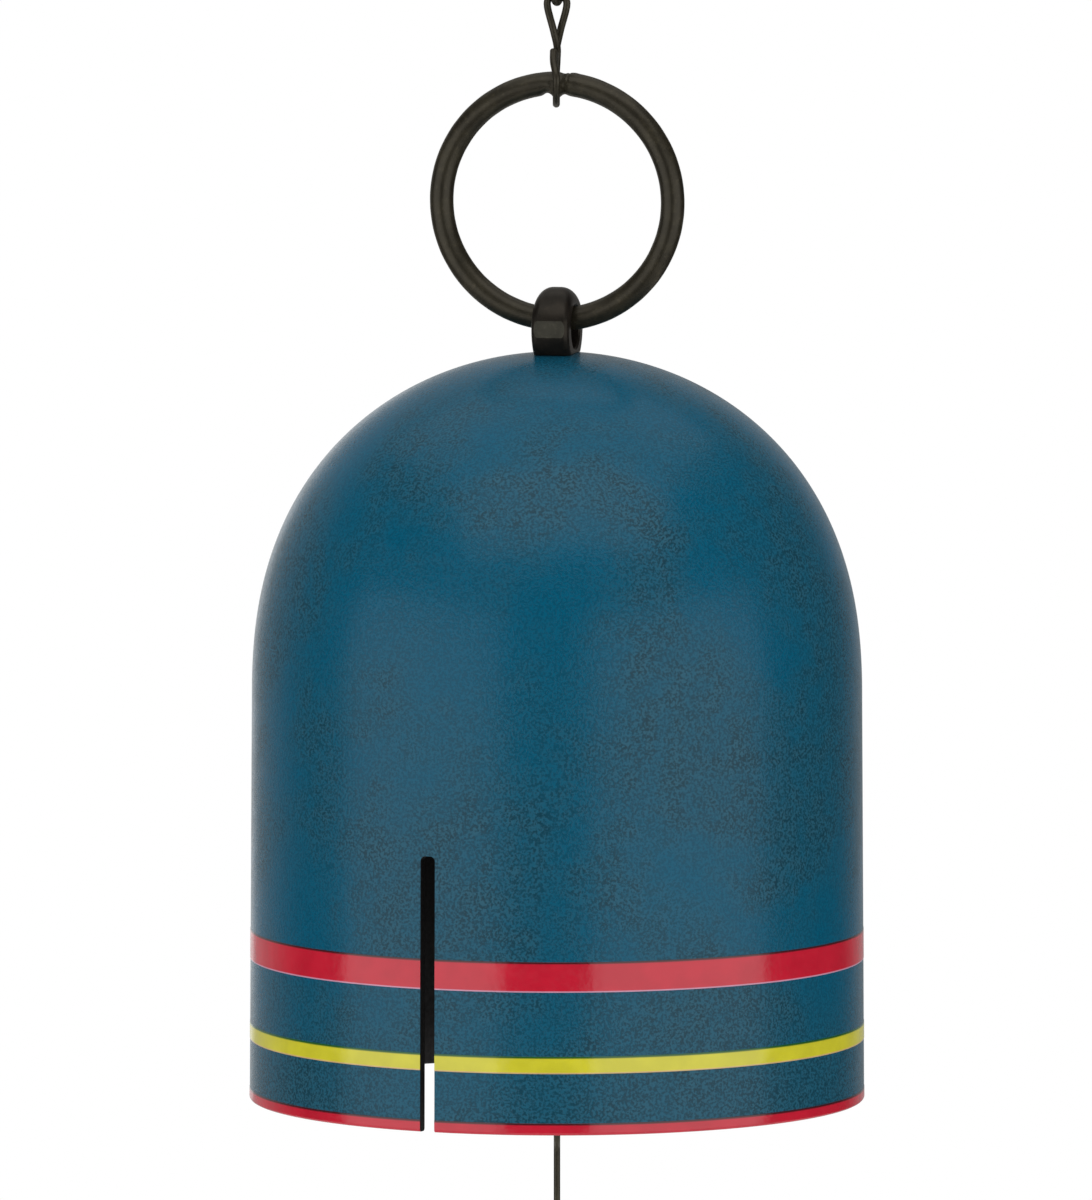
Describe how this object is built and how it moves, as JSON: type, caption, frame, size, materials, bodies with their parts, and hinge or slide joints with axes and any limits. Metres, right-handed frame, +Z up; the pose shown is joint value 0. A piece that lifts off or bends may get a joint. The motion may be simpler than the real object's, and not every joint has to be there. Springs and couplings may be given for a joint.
{
  "type": "wind bell",
  "caption": "Tall domed steel wind bell with a tone slot and painted bands, hung by a welded ring, chain and hook, with a ball clapper inside and a wind sail on a wire below.",
  "frame": {"origin": "where the hook bears on its support: the underside of the top of the hook's upper bend", "axes": "+Z up, along the line on which the bell hangs; -Y is the front, with the tone slot at the front left; +X to the right, across the lower link's lower loop"},
  "size_m": [0.1706, 0.1706, 0.5682],
  "materials": {
    "dark_bronze": "satin dark bronze paint",
    "blue_patina": "matt sponged blue paint with glossy red and yellow bands",
    "zinc_steel": "zinc plated",
    "stained_wood": "dark stain, oiled"
  },
  "bodies": {
    "hook": {"hanging_hook": "dark_bronze"},
    "upper_link": {"chain_link_upper": "dark_bronze"},
    "lower_link": {"chain_link_lower": "dark_bronze"},
    "ring": {"hanging_ring": "dark_bronze"},
    "bell": {"crown_eye": "dark_bronze", "bell_shell": "blue_patina", "crown_washer": "zinc_steel", "clapper_eye_nut": "zinc_steel"},
    "clapper": {"clapper_rod": "zinc_steel", "clapper_ball": "stained_wood", "clapper_collar_upper": "zinc_steel", "clapper_collar_lower": "zinc_steel"},
    "sail_wire": {"sail_wire": "dark_bronze"},
    "sail": {"wind_sail": "blue_patina"}
  },
  "joints": [
    {"name": "upper_link_swing", "type": "hinge", "parent": "hook", "child": "upper_link", "pos_m": [0, 0, -0.0423], "axis": [0.342, 0.9397, 0], "range_deg": [-75, 75]},
    {"name": "lower_link_swing", "type": "hinge", "parent": "upper_link", "child": "lower_link", "pos_m": [0, 0, -0.06753], "axis": [1, 0, 0], "range_deg": [-35, 35]},
    {"name": "ring_swing", "type": "hinge", "parent": "lower_link", "child": "ring", "pos_m": [0, 0, -0.09789], "axis": [0, 1, 0], "range_deg": [-50, 50]},
    {"name": "bell_swing", "type": "hinge", "parent": "ring", "child": "bell", "pos_m": [0, 0, -0.15746], "axis": [0.9781, -0.2079, 0], "range_deg": [-75, 75]},
    {"name": "clapper_swing", "type": "hinge", "parent": "bell", "child": "clapper", "pos_m": [0, 0, -0.1971], "axis": [0, 1, 0], "range_deg": [-22.8, 22.8]},
    {"name": "sail_wire_swing", "type": "hinge", "parent": "clapper", "child": "sail_wire", "pos_m": [0, 0, -0.38237], "axis": [1, 0, 0], "range_deg": [-70, 70]},
    {"name": "sail_swing", "type": "hinge", "parent": "sail_wire", "child": "sail", "pos_m": [0, 0, -0.47387], "axis": [0, 1, 0], "range_deg": [-85, 85]}
  ]
}
